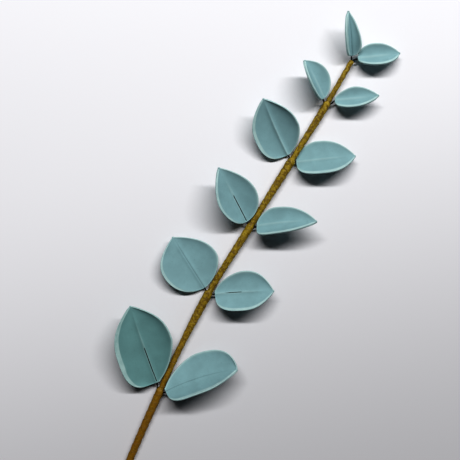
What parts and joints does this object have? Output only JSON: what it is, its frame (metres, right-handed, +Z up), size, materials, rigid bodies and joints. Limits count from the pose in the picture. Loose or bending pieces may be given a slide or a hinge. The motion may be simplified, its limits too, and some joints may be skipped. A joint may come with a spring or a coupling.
{
  "type": "handmade eucalyptus sprig",
  "caption": "Handmade eucalyptus sprig lying on a surface: pairs of cupped paste leaves on fine wires, bound to a slim stem with brown floral tape.",
  "frame": {"origin": "on the surface that the sprig lies on, below the middle of its bounding box", "axes": "+Y along the stem from the cut end to the top pair of leaves, +Z up out of the leaves' upper faces, +X to the right seen from above"},
  "size_m": [0.0502, 0.2308, 0.0147],
  "materials": {
    "leaf_paste": "matte grey-green flower paste",
    "lowest_leaf_paste": "matte flower paste of a darker grey-green",
    "dark_wire": "dark covered florist's wire",
    "core_steel": "plain drawn wire",
    "floral_tape": "waxy brown crepe tape"
  },
  "bodies": {
    "root": {"leaf_1_left": "leaf_paste", "leaf_1_right": "leaf_paste", "leaf_2_left": "leaf_paste", "leaf_2_right": "leaf_paste", "leaf_3_left": "leaf_paste", "leaf_3_right": "leaf_paste", "leaf_4_left": "leaf_paste", "leaf_4_right": "leaf_paste", "leaf_5_left": "leaf_paste", "leaf_5_right": "leaf_paste", "leaf_6_left": "lowest_leaf_paste", "leaf_6_right": "leaf_paste", "leaf_1_left_wire": "dark_wire", "leaf_1_right_wire": "dark_wire", "leaf_2_left_wire": "dark_wire", "leaf_2_right_wire": "dark_wire", "leaf_3_left_wire": "dark_wire", "leaf_3_right_wire": "dark_wire", "leaf_4_left_wire": "dark_wire", "leaf_4_right_wire": "dark_wire", "leaf_5_left_wire": "dark_wire", "leaf_5_right_wire": "dark_wire", "leaf_6_left_wire": "dark_wire", "leaf_6_right_wire": "dark_wire", "stem_wire": "core_steel", "stem_tape": "floral_tape"}
  },
  "joints": []
}
